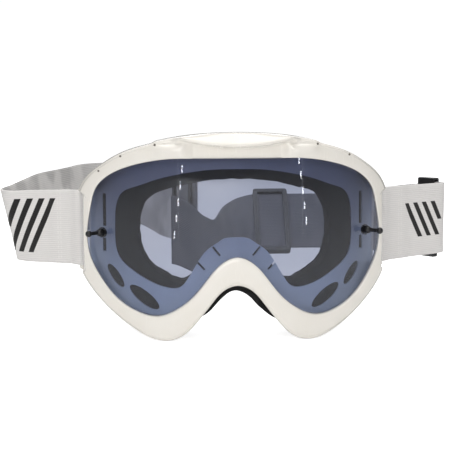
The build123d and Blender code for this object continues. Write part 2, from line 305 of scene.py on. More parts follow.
def new_group(name: str, inputs: dict[str, tuple[str, object]], outputs: dict[str, str]
              ) -> tuple[bpy.types.NodeTree, Graph, dict, dict]:
    """An empty shader node group.

    Args:
        name: The group's name.
        inputs: Kind and starting value of each input, by name.
        outputs: Kind of each output, by name.

    Returns:
        The group, its graph, its input sockets and its output sockets, by name.
    """
    tree = bpy.data.node_groups.new(name, "ShaderNodeTree")
    for label, (kind, value) in inputs.items():
        socket = tree.interface.new_socket(label, in_out="INPUT", socket_type="NodeSocket" + kind)
        if value is not None:
            socket.default_value = value
    for label, kind in outputs.items():
        tree.interface.new_socket(label, in_out="OUTPUT", socket_type="NodeSocket" + kind)
    graph = Graph(tree)
    start, end = graph.add("NodeGroupInput"), graph.add("NodeGroupOutput")
    return tree, graph, dict(start.outputs.items()), dict(end.inputs.items())


class Effects:
    """The node groups that several finishes share, each built once."""

    def __init__(self) -> None:
        """Builds the groups."""
        self.moulding = self._moulding()
        self.cells = self._cells()
        self.weave = self._weave()
        self.stitches = self._stitches()

    def use(self, graph: Graph, group: bpy.types.NodeTree, inputs: dict) -> bpy.types.Node:
        """A group node in a material's graph.

        Args:
            graph: The material's graph.
            group: The node group.
            inputs: Values or sockets for its inputs, by name.

        Returns:
            The node.
        """
        node = graph.add("Group", node_tree=group)
        for name, value in inputs.items():
            graph.feed(node.inputs[name], value)
        return node

    def _moulding(self) -> bpy.types.NodeTree:
        """Moulded plastic: cloudy tint, hairline scuffs in roughness, and a faint ripple.

        Returns:
            The group.
        """
        tree, g, have, want = new_group(
            "Moulded Plastic",
            {"Vector": ("Vector", None), "Clean": ("Color", (1, 1, 1, 1)),
             "Aged": ("Color", (1, 1, 1, 1)), "Gloss": ("Float", 0.2), "Scuff": ("Float", 0.1)},
            {"Color": "Color", "Roughness": "Float", "Height": "Float"})
        cloud = g.add("TexNoise", {"Vector": have["Vector"], "Scale": 38.0, "Detail": 4.0})
        drawn = g.add("Mapping", {"Vector": have["Vector"], "Rotation": (0.4, 0.9, 0.3),
                                  "Scale": (2400.0, 90.0, 90.0)})
        hair = g.add("TexNoise", {"Vector": drawn.outputs[0], "Scale": 1.0, "Detail": 2.0})
        lines = g.ramp(hair.outputs[0], 0.60, 0.72)
        speck = g.add("TexNoise", {"Vector": have["Vector"], "Scale": 900.0, "Detail": 1.0})
        dust = g.ramp(speck.outputs[0], 0.68, 0.76)
        tint = g.ramp(cloud.outputs[0], 0.35, 0.75)
        g.feed(want["Color"], g.mix(tint, have["Clean"], have["Aged"]))
        worn = g.plus(g.times(lines, have["Scuff"]),
                      g.times(dust, g.times(have["Scuff"], 0.6)))
        g.feed(want["Roughness"], g.math("ADD", g.plus(have["Gloss"], worn),
                                         g.times(tint, 0.05), clamp=True))
        g.feed(want["Height"], g.plus(g.times(cloud.outputs[0], 0.6),
                                      g.times(lines, -0.05)))
        return tree

    def _cells(self) -> bpy.types.NodeTree:
        """Open-cell foam: small round cells with thin bright walls.

        Returns:
            The group.
        """
        tree, g, have, want = new_group(
            "Foam Cells",
            {"Vector": ("Vector", None), "Cells per metre": ("Float", 1500.0),
             "Deep": ("Color", (0, 0, 0, 1)), "Wall": ("Color", (1, 1, 1, 1))},
            {"Color": "Color", "Height": "Float"})
        voronoi = g.add("TexVoronoi", {"Vector": have["Vector"], "Scale": have["Cells per metre"]},
                        feature="DISTANCE_TO_EDGE")
        wall = g.ramp(voronoi.outputs[0], 0.28, 0.04)
        cloud = g.add("TexNoise", {"Vector": have["Vector"], "Scale": 120.0, "Detail": 3.0})
        light = g.times(wall, g.ramp(cloud.outputs[0], 0.2, 0.8, 0.55, 1.0))
        g.feed(want["Color"], g.mix(light, have["Deep"], have["Wall"]))
        g.feed(want["Height"], g.plus(wall, g.times(cloud.outputs[0], 0.7)))
        return tree

    def _weave(self) -> bpy.types.NodeTree:
        """Elastic webbing: rounded ribs along the strap, crossed by fine picks.

        Returns:
            The group.
        """
        tree, g, have, want = new_group(
            "Webbing Weave",
            {"Vector": ("Vector", None), "Rib pitch": ("Float", 0.0012),
             "Pick pitch": ("Float", 0.0009)},
            {"Height": "Float", "Shade": "Float", "Pick": "Float"})
        place = g.add("SeparateXYZ", {0: have["Vector"]})
        wander = g.add("TexNoise", {"Vector": have["Vector"], "Scale": 160.0, "Detail": 2.0})
        across = g.plus(place.outputs[1], g.times(wander.outputs[0], 0.0005))
        turns = g.math("DIVIDE", across, have["Rib pitch"])
        rib = g.math("ABSOLUTE", g.math("SINE", g.times(turns, math.pi)))
        row = g.times(g.math("FLOOR", turns), 0.5)
        picks = g.plus(g.math("DIVIDE", place.outputs[0], have["Pick pitch"]), row)
        pick = g.math("ABSOLUTE", g.math("SINE", g.times(picks, math.pi)))
        fuzz = g.add("TexNoise", {"Vector": have["Vector"], "Scale": 1400.0, "Detail": 2.0})
        height = g.times(g.math("POWER", rib, 0.6),
                        g.plus(g.times(pick, 0.35), 0.65))
        g.feed(want["Height"], g.plus(height, g.times(fuzz.outputs[0], 0.25)))
        g.feed(want["Shade"], g.ramp(g.times(height, g.ramp(
            wander.outputs[0], 0.3, 0.7, 0.85, 1.0)), 0.1, 0.9))
        g.feed(want["Pick"], pick)
        return tree

    def _stitches(self) -> bpy.types.NodeTree:
        """A row of thread dashes across the strap at one distance along it.

        Returns:
            The group.
        """
        tree, g, have, want = new_group(
            "Stitch Row",
            {"Vector": ("Vector", None), "At": ("Float", 0.0), "Pitch": ("Float", 0.003),
             "Low": ("Float", 0.002), "High": ("Float", 0.043)},
            {"Mask": "Float"})
        place = g.add("SeparateXYZ", {0: have["Vector"]})
        off = g.math("ABSOLUTE", g.math("SUBTRACT", place.outputs[0], have["At"]))
        line = g.ramp(off, 0.00055, 0.00035)
        wave = g.math("SINE", g.times(g.math("DIVIDE", place.outputs[1],
                                                        have["Pitch"]), 2 * math.pi))
        dash = g.ramp(wave, -0.45, -0.2)
        inside = g.times(g.math("GREATER_THAN", place.outputs[1], have["Low"]),
                        g.math("LESS_THAN", place.outputs[1], have["High"]))
        g.feed(want["Mask"], g.times(g.times(line, dash), inside))
        return tree


# ---- finishes --------------------------------------------------------------------------

Colour = tuple[float, float, float, float]


def start_material(name: str) -> tuple[bpy.types.Material, Graph, bpy.types.Node, bpy.types.Node]:
    """A material with a Principled shader.

    Args:
        name: Its name.

    Returns:
        The material, its graph, the shader and a Texture Coordinate node.
    """
    material = bpy.data.materials.new(name)
    material.use_nodes = True
    material.node_tree.nodes.clear()
    graph = Graph(material.node_tree)
    shader = graph.add("BsdfPrincipled")
    graph.add("OutputMaterial", {"Surface": shader.outputs[0]})
    return material, graph, shader, graph.add("TexCoord")


@dataclass(frozen=True)
class MouldedGloss:
    """Injection-moulded plastic with a coat of gloss."""

    name: str
    clean: Colour
    aged: Colour
    gloss: float = 0.2
    scuff: float = 0.08
    coat: float = 0.5
    sheer: float = 0.03
    # Painted shade: brow is a darker colour blended in towards the top of the part, between the two
    # heights below (metres), where the brow shades it; bare is the plastic's own colour, kept at
    # the far sides and on the back.
    brow: Colour | None = None
    brow_shade_heights: tuple[float, float] = (-0.030, 0.038)
    bare: Colour = (0.85, 0.825, 0.775, 1.0)
    bare_aside: tuple[float, float] = (0.0835, 0.0850)
    bare_turned: tuple[float, float] = (0.35, 0.6)

    def material(self, effects: Effects) -> bpy.types.Material:
        """The finish as a material.

        Args:
            effects: The shared groups.

        Returns:
            The material.
        """
        made, g, shader, place = start_material(self.name)
        skin = effects.use(g, effects.moulding, {
            "Vector": place.outputs["Object"], "Clean": self.clean, "Aged": self.aged,
            "Gloss": self.gloss, "Scuff": self.scuff})
        colour = skin.outputs["Color"]
        if self.brow is not None:
            colour = self._with_painted_shade(g, place, colour)
        g.feed(shader.inputs["Base Color"], colour)
        g.feed(shader.inputs["Roughness"], skin.outputs["Roughness"])
        g.feed(shader.inputs["Normal"], g.bump(skin.outputs["Height"], self.sheer, 0.001))
        shader.inputs["Coat Weight"].default_value = self.coat
        shader.inputs["Coat Roughness"].default_value = 0.06
        return made

    def _with_painted_shade(self, g: Graph, place: bpy.types.Node, colour: bpy.types.NodeSocket
                  ) -> bpy.types.NodeSocket:
        """The colour with painted shade, darker towards the top where the brow shades the part, and
        bare (the plastic's own colour) at the far sides and on the back.

        Args:
            g: The material's graph.
            place: Its Texture Coordinate node.
            colour: The moulded plastic's colour.

        Returns:
            The colour to use.
        """
        spot = g.add("SeparateXYZ", {0: place.outputs["Object"]})
        facing = g.add("SeparateXYZ", {0: place.outputs["Normal"]})
        # Painted shade: darker towards the top, where the brow shades the part.
        deep = g.mix(g.ramp(spot.outputs[2], *self.brow_shade_heights), colour, self.brow)
        bare = g.math("MAXIMUM", g.ramp(g.math("ABSOLUTE", spot.outputs[0]), *self.bare_aside),
                      g.ramp(facing.outputs[1], *self.bare_turned))
        return g.mix(bare, deep, self.bare)


@dataclass(frozen=True)
class SmokePane:
    """Clear polycarbonate with a blue-grey smoke tint and a hard coat."""

    name: str = "smoke lens"
    tint: Colour = (0.47, 0.50, 0.62, 1.0)
    edge: Colour = (0.43, 0.47, 0.61, 1.0)

    def material(self, effects: Effects) -> bpy.types.Material:
        """The finish as a material, whose shadow is as light as the tint.

        Args:
            effects: The shared groups, none of which it uses.

        Returns:
            The material.
        """
        made, g, shader, place = start_material(self.name)
        cloud = g.add("TexNoise", {"Vector": place.outputs["Object"], "Scale": 14.0})
        g.feed(shader.inputs["Base Color"], g.mix(
            g.ramp(cloud.outputs[0], 0.3, 0.7), self.tint, self.edge))
        speck = g.add("TexNoise", {"Vector": place.outputs["Object"], "Scale": 700.0})
        g.feed(shader.inputs["Roughness"], g.ramp(speck.outputs[0], 0.72, 0.8, 0.0, 0.06))
        shader.inputs["Transmission Weight"].default_value = 1.0
        shader.inputs["IOR"].default_value = 1.5
        shader.inputs["Specular IOR Level"].default_value = 0.22
        shadow = g.add("LightPath").outputs["Is Shadow Ray"]
        g.feed(shader.inputs["Alpha"], g.ramp(shadow, 0.0, 1.0, 1.0, 0.35))
        return made


@dataclass(frozen=True)
class CellFoam:
    """Open-cell polyurethane foam."""

    name: str
    deep: Colour
    wall: Colour
    cells_per_metre: float
    relief: float = 0.5

    def material(self, effects: Effects) -> bpy.types.Material:
        """The finish as a material.

        Args:
            effects: The shared groups.

        Returns:
            The material.
        """
        made, g, shader, place = start_material(self.name)
        cells = effects.use(g, effects.cells, {
            "Vector": place.outputs["Object"], "Cells per metre": self.cells_per_metre,
            "Deep": self.deep, "Wall": self.wall})
        g.feed(shader.inputs["Base Color"], cells.outputs["Color"])
        g.feed(shader.inputs["Normal"], g.bump(cells.outputs["Height"], self.relief, 0.0005))
        shader.inputs["Roughness"].default_value = 0.95
        shader.inputs["Specular IOR Level"].default_value = 0.2
        return made


@dataclass(frozen=True)
class BrushedFleece:
    """Short brushed pile on the side that touches the face."""

    name: str = "fleece"
    shade: Colour = (0.010, 0.010, 0.011, 1.0)
    tip: Colour = (0.045, 0.045, 0.05, 1.0)

    def material(self, effects: Effects) -> bpy.types.Material:
        """The finish as a material.

        Args:
            effects: The shared groups, none of which it uses.

        Returns:
            The material.
        """
        made, g, shader, place = start_material(self.name)
        laid = g.add("Mapping", {"Vector": place.outputs["Object"],
                                 "Scale": (900.0, 500.0, 1900.0)})
        pile = g.add("TexNoise", {"Vector": laid.outputs[0], "Scale": 1.0, "Detail": 3.0})
        tuft = g.add("TexNoise", {"Vector": place.outputs["Object"], "Scale": 110.0})
        mask = g.times(g.ramp(pile.outputs[0], 0.35, 0.7),
                      g.ramp(tuft.outputs[0], 0.3, 0.7, 0.5, 1.0))
        g.feed(shader.inputs["Base Color"], g.mix(mask, self.shade, self.tip))
        g.feed(shader.inputs["Normal"], g.bump(mask, 0.6, 0.0006))
        shader.inputs["Roughness"].default_value = 1.0
        shader.inputs["Sheen Weight"].default_value = 0.25
        return made


STITCH_ROWS = (0.0062, 0.0085)      # distances along the strap, in metres


class StrapMark(Enum):
    """Which plain printed mark a strap carries."""

    NONE = "none"
    BARS = "bars"


@dataclass(frozen=True)
class Webbing:
    """White elastic webbing: ribbed outside, greyer inside, with painted shade on the inner face
    towards the tail, and an optional mark of slanted bars.

    The map runs along the strap in U, and across its face in V from 0 to the strap's width;
    the inner face has V from INNER_V on.
    """

    name: str
    mark: StrapMark = StrapMark.NONE
    mark_from: float = 0.012
    mark_to: float = 0.060
    mark_low: float = 0.012
    mark_high: float = 0.036
    bar_half: float = 0.0021
    bar_lean: float = 0.62
    bars: tuple[tuple[float, float], ...] = ((0.50, 0.0), (0.78, 0.0), (1.06, 0.0), (1.34, 0.45))
    stitches: tuple[float, ...] = ()
    white: Colour = (0.80, 0.78, 0.765, 1.0)
    furrow: Colour = (0.71, 0.695, 0.685, 1.0)
    # Painted shade: from the given distance along the strap (metres), the inner face darkens to the
    # dark colour below, for the shade it lies in behind the lens.
    tail_shade_from: float = 0.200
    tail_shade: Colour = (0.095, 0.098, 0.118, 1.0)
    inner: Colour = (0.36, 0.355, 0.355, 1.0)
    inner_light: Colour = (0.56, 0.55, 0.54, 1.0)
    ink: Colour = (0.010, 0.009, 0.009, 1.0)

    def material(self, effects: Effects) -> bpy.types.Material:
        """The finish as a material.

        Args:
            effects: The shared groups.

        Returns:
            The material.
        """
        made, g, shader, _ = start_material(self.name)
        lay = g.add("UVMap", uv_map="Lay").outputs[0]
        weave = effects.use(g, effects.weave, {"Vector": lay})
        place = g.add("SeparateXYZ", {0: lay})
        along, across = place.outputs[0], place.outputs[1]
        outside = g.mix(weave.outputs["Shade"], self.furrow, self.white)
        blocks = g.add("TexNoise", {"Vector": g.add("Mapping", {
            "Vector": lay, "Scale": (90.0, 45.0, 1.0)}).outputs[0], "Scale": 1.0, "Detail": 1.0})
        inside = g.mix(g.ramp(blocks.outputs[0], 0.42, 0.6), self.inner, self.inner_light)
        inside = g.mix(g.ramp(weave.outputs["Shade"], 0.0, 1.0, 0.0, 0.35), inside, self.white)
        # Painted shade: the inner face darkens towards the tail, past its start distance.
        inside = g.mix(g.ramp(along, self.tail_shade_from, self.tail_shade_from + 0.012, 0.0, 0.85), inside,
                       self.tail_shade)
        is_inner = g.math("GREATER_THAN", across, INNER_V - 0.001)
        colour = g.mix(is_inner, outside, inside)
        height = weave.outputs["Height"]
        if self.mark is StrapMark.BARS:
            colour = g.mix(self._bars(g, along, across), colour, self.ink)
        for at in self.stitches:
            row = effects.use(g, effects.stitches, {"Vector": lay, "At": at})
            colour = g.mix(g.times(row.outputs["Mask"], 0.5), colour,
                           (0.84, 0.825, 0.81, 1.0))
            height = g.plus(height, g.times(row.outputs["Mask"], 0.7))
        g.feed(shader.inputs["Base Color"], colour)
        g.feed(shader.inputs["Normal"], g.bump(height, 0.35, 0.0004))
        g.feed(shader.inputs["Roughness"], g.ramp(weave.outputs["Pick"], 0.0, 1.0, 0.9, 0.72))
        shader.inputs["Sheen Weight"].default_value = 0.15
        shader.inputs["Specular IOR Level"].default_value = 0.3
        return made

    def _bars(self, g: Graph, along: bpy.types.NodeSocket, across: bpy.types.NodeSocket
              ) -> bpy.types.NodeSocket:
        """The mask of the mark: three bars that lean together, and a short one beside them.

        A bar is where the distance from its centre line, worked out in the strap's own map as
        |u + lean v - place|, is under half its width, between its low and high ends.

        Args:
            g: The material's graph.
            along: Distance along the strap, in metres.
            across: Distance across it.

        Returns:
            One on the ink, zero off it.
        """
        reach = self.mark_to - self.mark_from
        leaning = g.plus(along, g.times(across, self.bar_lean))
        total = None
        tall = self.mark_high - self.mark_low
        high = self.mark_high
        for part, cut in self.bars:
            low = self.mark_low + tall * cut
            centre = self.mark_from + reach * part
            off = g.math("ABSOLUTE", g.math("SUBTRACT", leaning, centre))
            bar = g.ramp(off, self.bar_half + 0.0001, self.bar_half - 0.0002)
            ends = g.times(g.ramp(across, low, low + 0.0003),
                          g.ramp(across, high, high - 0.0003))
            bar = g.times(bar, ends)
            total = bar if total is None else g.math("MAXIMUM", total, bar)
        return total


@dataclass(frozen=True)
class PaleFloor:
    """Matt pale studio floor with a barely seen mottle."""

    name: str = "pale floor"
    lift: float = 0.80

    def material(self, effects: Effects) -> bpy.types.Material:
        """The finish as a material.

        Args:
            effects: The shared groups, none of which it uses.

        Returns:
            The material.
        """
        made, g, shader, place = start_material(self.name)
        cloud = g.add("TexNoise", {"Vector": place.outputs["Object"], "Scale": 3.0})
        g.feed(shader.inputs["Base Color"], g.mix(
            g.ramp(cloud.outputs[0], 0.3, 0.7), (0.93, 0.93, 0.93, 1.0), (0.95, 0.95, 0.95, 1.0)))
        seen = g.add("LightPath").outputs["Is Camera Ray"]
        g.feed(shader.inputs["Emission Color"], g.mix(seen, (0, 0, 0, 1), (1, 1, 1, 1)))
        shader.inputs["Emission Strength"].default_value = self.lift
        shader.inputs["Roughness"].default_value = 0.9
        return made


@dataclass
class Finishes:
    """Every material of the goggles, made once."""

    effects: Effects = field(default_factory=Effects)
    pearl: bpy.types.Material = field(init=False)
    flange: bpy.types.Material = field(init=False)
    pane: bpy.types.Material = field(init=False)
    acetal: bpy.types.Material = field(init=False)
    pinhole: bpy.types.Material = field(init=False)
    filter_foam: bpy.types.Material = field(init=False)
    base_foam: bpy.types.Material = field(init=False)
    core_foam: bpy.types.Material = field(init=False)
    fleece: bpy.types.Material = field(init=False)
    webbing_left: bpy.types.Material = field(init=False)
    webbing_right: bpy.types.Material = field(init=False)
    floor: bpy.types.Material = field(init=False)

    def __post_init__(self) -> None:
        """Makes each material from its finish."""
        made = {
            "pearl": MouldedGloss("pearl plastic", (0.86, 0.83, 0.775, 1), (0.83, 0.795, 0.73, 1)),
            # Painted light: the flange is white plastic; its blue colours stand for light tinted by
            # the smoke lens, and brow is painted shade towards the top.
            "flange": MouldedGloss("flange plastic painted lens light", (0.78, 0.88, 0.98, 1), (0.72, 0.82, 0.94, 1),
                                   gloss=0.42, coat=0.1, brow=(0.34, 0.36, 0.45, 1)),
            "pane": SmokePane(),
            "acetal": MouldedGloss("black acetal", (0.006, 0.006, 0.007, 1),
                                   (0.014, 0.014, 0.016, 1), gloss=0.3, scuff=0.2, coat=0.1),
            # Painted shade: the pin holes are shallow dimples whose dark colour stands for the
            # shade inside small holes.
            "pinhole": MouldedGloss("pin hole painted shade", (0.16, 0.14, 0.12, 1), (0.10, 0.09, 0.08, 1),
                                    gloss=0.6, coat=0.0),
            "filter_foam": CellFoam("filter foam", (0.004, 0.004, 0.005, 1),
                                    (0.03, 0.03, 0.034, 1), 900.0, 0.9),
            "base_foam": CellFoam("base foam", (0.006, 0.006, 0.006, 1),
                                  (0.03, 0.03, 0.032, 1), 2600.0, 0.4),
            "core_foam": CellFoam("core foam", (0.006, 0.006, 0.006, 1),
                                  (0.014, 0.014, 0.015, 1), 1100.0, 0.12),
            "fleece": BrushedFleece(),
            "webbing_left": Webbing("left webbing", StrapMark.BARS, 0.020, 0.050, 0.012, 0.034,
                                    stitches=STITCH_ROWS, tail_shade_from=0.130),
            "webbing_right": Webbing("right webbing", StrapMark.BARS, 0.020, 0.054, 0.006, 0.040,
                                     0.0025, stitches=STITCH_ROWS),
            "floor": PaleFloor(),
        }
        for name, finish in made.items():
            setattr(self, name, finish.material(self.effects))


# ---- the frame -------------------------------------------------------------------------

LENS_RADIUS = 112.0
LENS_AXIS_Y = 78.0
SEAL_RADIUS = 95.0


def behind_lens(x: np.ndarray, depth: np.ndarray | float) -> np.ndarray:
    """Y of the upright column that lies depth behind the lens: axis - sqrt((R - depth)^2 - x^2)."""
    return LENS_AXIS_Y - np.sqrt((LENS_RADIUS - depth) ** 2 - x ** 2)


def seal_y(x: np.ndarray, lift: float = 0.0) -> np.ndarray:
    """Y of the face seal's surface: R - sqrt(R^2 - x^2), moved forward by lift."""
    return SEAL_RADIUS - np.sqrt(SEAL_RADIUS ** 2 - x ** 2) - lift


def matched_loops(inner: Outline, outer: Outline, marks: list[tuple[int, int]], count: int
                  ) -> tuple[np.ndarray, np.ndarray]:
    """Two symmetric outlines sampled so that their corners come at the same numbers.

    Both halves are cut at their marks, and each stretch between two marks is sampled evenly
    in as many steps on one as on the other; the stretches are as long as the outer one's.

    Args:
        inner: Half of the inner outline.
        outer: Half of the outer outline.
        marks: Numbers of points that belong together, as (inner, outer).
        count: Samples of each half.

    Returns:
        The two loops, of the same size.
    """
    halves = []
    fine = 1200                 # samples of each outline before it is cut
    curves = [spline_through(np.array(line), fine) for line in (inner, outer)]
    cuts = []
    for curve, line, which in zip(curves, (inner, outer), (0, 1)):
        knots = np.array([line[mark[which]] for mark in marks])
        nearest = np.argmin(np.linalg.norm(curve[:, None] - knots[None], axis=2), axis=0)
        cuts.append(np.concatenate([[0], nearest, [fine - 1]]).astype(float))
    even = np.linspace(0.0, fine - 1.0, count)
    for curve, cut in zip(curves, cuts):
        at = np.interp(even, cuts[1], cut)
        half = np.stack([np.interp(at, np.arange(fine), curve[:, k]) for k in (0, 1)], axis=1)
        halves.append(np.concatenate([half, half[-2:0:-1] * np.array([-1.0, 1.0])]))
    return halves[0], halves[1]


OUTER: Outline = [
    (0, 58.5), (16, 58.0), (30, 56.6), (41, 54.6), (50, 52.5), (64, 48.0), (77, 40.5), (86, 33.0),
    (91, 24.5), (92, 10), (91.9, -8), (90.7, -20), (87, -27.4), (80.5, -35.2), (70.5, -44.2),
    (56.5, -53.4), (43, -58.0), (32.5, -55.8), (23.5, -47.6), (14.8, -36.6), (7.5, -28.6),
    (0, -26.0)]
APERTURE: Outline = [
    (0, 45.1), (20, 45.0), (38, 44.7), (50, 43.0), (61, 40.1), (72.5, 34.6), (79.6, 27.5),
    (83.2, 16), (85.5, 0), (83.8, -12.3), (77.8, -24.0), (67.5, -35.8), (56, -42.3), (44, -44.0),
    (34, -39.8), (25, -32.6), (16.5, -22.0), (9, -13.8), (0, -10.1)]
LENS: Outline = [
    (0, 47.1), (20, 47.0), (38.5, 46.7), (51, 44.9), (62, 41.9), (74, 36.1), (81.1, 28.3),
    (84.8, 16.3), (87.1, 0), (85.3, -12.8), (79.1, -25.0), (68.6, -37.2), (56.7, -44.0),
    (43.7, -45.9), (32.9, -41.5), (23.6, -34.0), (15.0, -23.3), (8, -15.5), (0, -12.0)]
FOAM: Outline = [
    (0, 52.4), (30, 50.8), (47, 47.3), (62, 42.3), (74, 34.5), (81, 23), (82.8, 5), (81.6, -12),
    (75.5, -28), (65, -39.6), (53, -48), (42, -51.8), (31.5, -50.4), (22, -47.4), (13, -40.6),
    (6.5, -33.8), (0, -31.0)]
WINDOW: Outline = [
    (0, 32.8), (20, 31.3), (37, 27.2), (48, 22.4), (53, 14.5), (54.8, 3), (53.8, -7), (48.5, -17.6),
    (39, -23.6), (31, -26.6), (26, -24.8), (21, -17.0), (14, -8.9), (7, -5.0), (0, -4.0)]
RIM_MARKS = [(6, 7), (10, 12), (13, 16)]    # corners of APERTURE that go with corners of OUTER
FOAM_MARKS = [(4, 4), (7, 8), (9, 11)]      # corners of WINDOW that go with corners of FOAM


@dataclass
class Rim:
    """The moulded outer frame: lens groove, sculpted brow, side wall, strap notches and bars."""

    proud: float = 3.0
    groove: float = 1.4
    back: float = 3.6
    wall_depth: float = 12.4
    wall: float = 2.6
    notch_x: float = 88.2
    notch_low: float = -22.9
    notch_high: float = 24.3
    bar: tuple[float, float, float] = (90.2, 26.0, 1.7)
    hood_middle: float = 52.1
    hood_end: float = 55.6
    hood_half: float = 29.0
    hood_proud: float = 4.4
    brow_sink: float = 2.7
    hood_reach: tuple[float, float] = (36.0, 66.0)
    hood_roll: float = 7.0
    ledge: float = 1.6
    horn: tuple[float, float] = (38.0, 49.6)
    horn_size: tuple[float, float, float] = (7.5, 3.4, 1.9)
    line_start: tuple[float, float] = (36.0, 53.2)
    line_fall: float = 0.035
    line_size: float = 0.7
    pin_holes: tuple[tuple[float, float], ...] = ((-65.0, 46.0), (-78.0, 37.2), (65.0, 46.0),
                                                  (-45.5, 52.6), (45.5, 52.6))
    crest: float = 0.9
    crest_half: float = 45.0
    around: int = 260

    def front_depth(self, x: np.ndarray, z: np.ndarray) -> np.ndarray:
        """How far the front surface stands before the plain rim, in millimetres.

        The sum of: a hood, highest on the curve z = middle + rise (x / half)^2 and falling off
        as a soft ridge above it; a sunk brow below that curve that ends softly at the horns;
        the horns, two long low swellings; and a shallow line between horn and hood.

        Args:
            x: Across.
            z: Up.

        Returns:
            Millimetres forward.
        """
        side = np.abs(x)
        rise = self.hood_end - self.hood_middle
        edge = self.hood_middle + rise * np.minimum(side / self.hood_half, 1.5) ** 2
        middle = 1.0 - smooth(self.hood_half - 5.0, self.hood_half + 4.0, side)
        reach = 1.0 - smooth(*self.hood_reach, side)
        above = smooth(0.0, self.hood_roll, z - edge)
        below = smooth(0.0, self.ledge, edge - z)
        hood = self.hood_proud * reach * (1.0 - above) * (1.0 - below * middle)
        hood = hood * (1.0 - (1.0 - middle) * smooth(-1.0, 2.5, edge - z))
        sunk = self.brow_sink * middle * below
        long, tall, high = self.horn_size
        horn = high * np.exp(-((side - self.horn[0]) / long) ** 4
                             - ((z - self.horn[1]) / tall) ** 2)
        off = z - self.line_start[1] + self.line_fall * (side - self.line_start[0])
        line = self.line_size * np.exp(-(off / self.line_size) ** 2) \
            * smooth(27.0, 32.0, side) * (1.0 - smooth(46.0, 60.0, side))
        upper = smooth(26.0, 34.0, z)
        return upper * (hood - sunk + horn - line)

    def build(self, finishes: Finishes) -> bpy.types.Object:
        """Makes the rim.

        The section is carried round the loop between the aperture and the outer outline: a
        point is A + q d, with d from the aperture A to the outer outline O, q in millimetres,
        and its depth behind the lens's front.

        Args:
            finishes: The materials.

        Returns:
            The piece.
        """
        hole, outer = matched_loops(APERTURE, OUTER, RIM_MARKS, self.around)
        outer = self.notched(outer)
        across = outer - hole
        width = np.linalg.norm(across, axis=1)[:, None]
        way = across / width
        # The section: the groove and inner lip, the front, the outer edge and side wall, and
        # the way back inside.
        fine = np.linspace(0.16, 0.84, 22)
        blank = np.zeros_like(fine)
        share = np.concatenate([[0] * 6, fine, [1] * 14, [0.35, 0]])
        shift = np.concatenate([[0, 0, 0, 0.12, 0.5, 1.1], blank,
                                [-1.7, -0.8, -0.22, 0, 0, 0, 0, 0, -0.35, -1.2, -2.2, -2.6, -2.6,
                                 -2.9], [0, 0.3]])
        depth = np.concatenate([[self.back, self.groove, -1.7, -2.45, -2.8, -2.95],
                                blank - self.proud - 0.12 * np.sin(np.pi * fine),
                                [-2.85, -2.45, -1.7, -0.7, 3.4, 7.0, 10.0, 11.5, 12.2, 12.4, 12.2,
                                 11.2, 5.0, self.back], [self.back, self.back]])
        room = np.minimum(1.0, width / 9.0)
        q = share[None] * width + shift[None] * room
        flat = hole[:, None] + q[..., None] * way[:, None]
        x, z = flat[..., 0], flat[..., 1]
        notch = self.in_notch(outer)[:, None]
        depth_all = np.minimum(depth, self.back)[None] \
            + np.maximum(depth - self.back, 0.0)[None] * (1.0 - notch)
        is_front = smooth(0.9, 2.6, -depth)[None]
        depth_all = depth_all - is_front * self.front_depth(x, z)
        points = np.stack([x, behind_lens(x, depth_all), z], axis=-1)
        faces = grid_faces(points.shape[0], points.shape[1], True, True)
        shell = (points.reshape(-1, 3), faces)
        obj = new_piece("rim", *shell, finishes.pearl)
        bars = new_piece("strap_bars", *joined(self.strap_bar(-1), self.strap_bar(1)),
                         finishes.pearl)
        # The pin holes' dark finish is painted shade.
        holes = new_piece("pin_holes", *joined(*[self.pin_hole(*at) for at in self.pin_holes]),
                          finishes.pinhole)
        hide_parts("outer_frame")
        for piece in (obj, bars, holes):
            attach(piece, "frame")
        return obj

    def notched(self, outer: np.ndarray) -> np.ndarray:
        """The outer loop, cut back where the straps come out and raised along the hood.

        Args:
            outer: The loop's points.

        Returns:
            The changed points.
        """
        cut = self.in_notch(outer)
        side = np.sign(outer[:, 0])
        x = np.abs(outer[:, 0])
        x = x + (np.minimum(x, self.notch_x) - x) * cut
        crest = self.crest * (1.0 - smooth(self.crest_half, self.crest_half + 3.0, x))
        z = outer[:, 1] + crest * (outer[:, 1] > 0.0)
        return np.stack([side * x, z], axis=1)

    def in_notch(self, outer: np.ndarray) -> np.ndarray:
        """One beside the strap, zero elsewhere, with ends 0.9 mm long.

        Args:
            outer: The loop's points.

        Returns:
            A number for each.
        """
        x, z = np.abs(outer[:, 0]), outer[:, 1]
        beside = (x > 80.0).astype(float)
        return beside * smooth(self.notch_low - 0.3, self.notch_low + 0.6, z) \
            * (1.0 - smooth(self.notch_high - 0.6, self.notch_high + 0.3, z))

    def strap_bar(self, side: int) -> tuple[np.ndarray, np.ndarray]:
        """An upright bar: circles of radius r(z), fuller at both ends, closed by poles.

        Args:
            side: 1 for the left, -1 for the right.

        Returns:
            Its points and quads.
        """
        x, y, radius = self.bar
        z = np.linspace(self.notch_low - 1.5, self.notch_high + 1.5, 40)
        ends = np.minimum(z - z[0], z[-1] - z)
        r = radius * (1.0 + 0.25 * np.exp(-ends / 1.5))
        r[0] = r[-1] = 0.001
        turn = np.linspace(0.0, 2 * np.pi, 24, endpoint=False)
        points = np.stack([side * x + r[:, None] * np.cos(turn), y + r[:, None] * np.sin(turn),
                           np.broadcast_to(z[:, None], (len(z), len(turn)))], axis=-1)
        return points.reshape(-1, 3), grid_faces(len(z), len(turn), False, True)

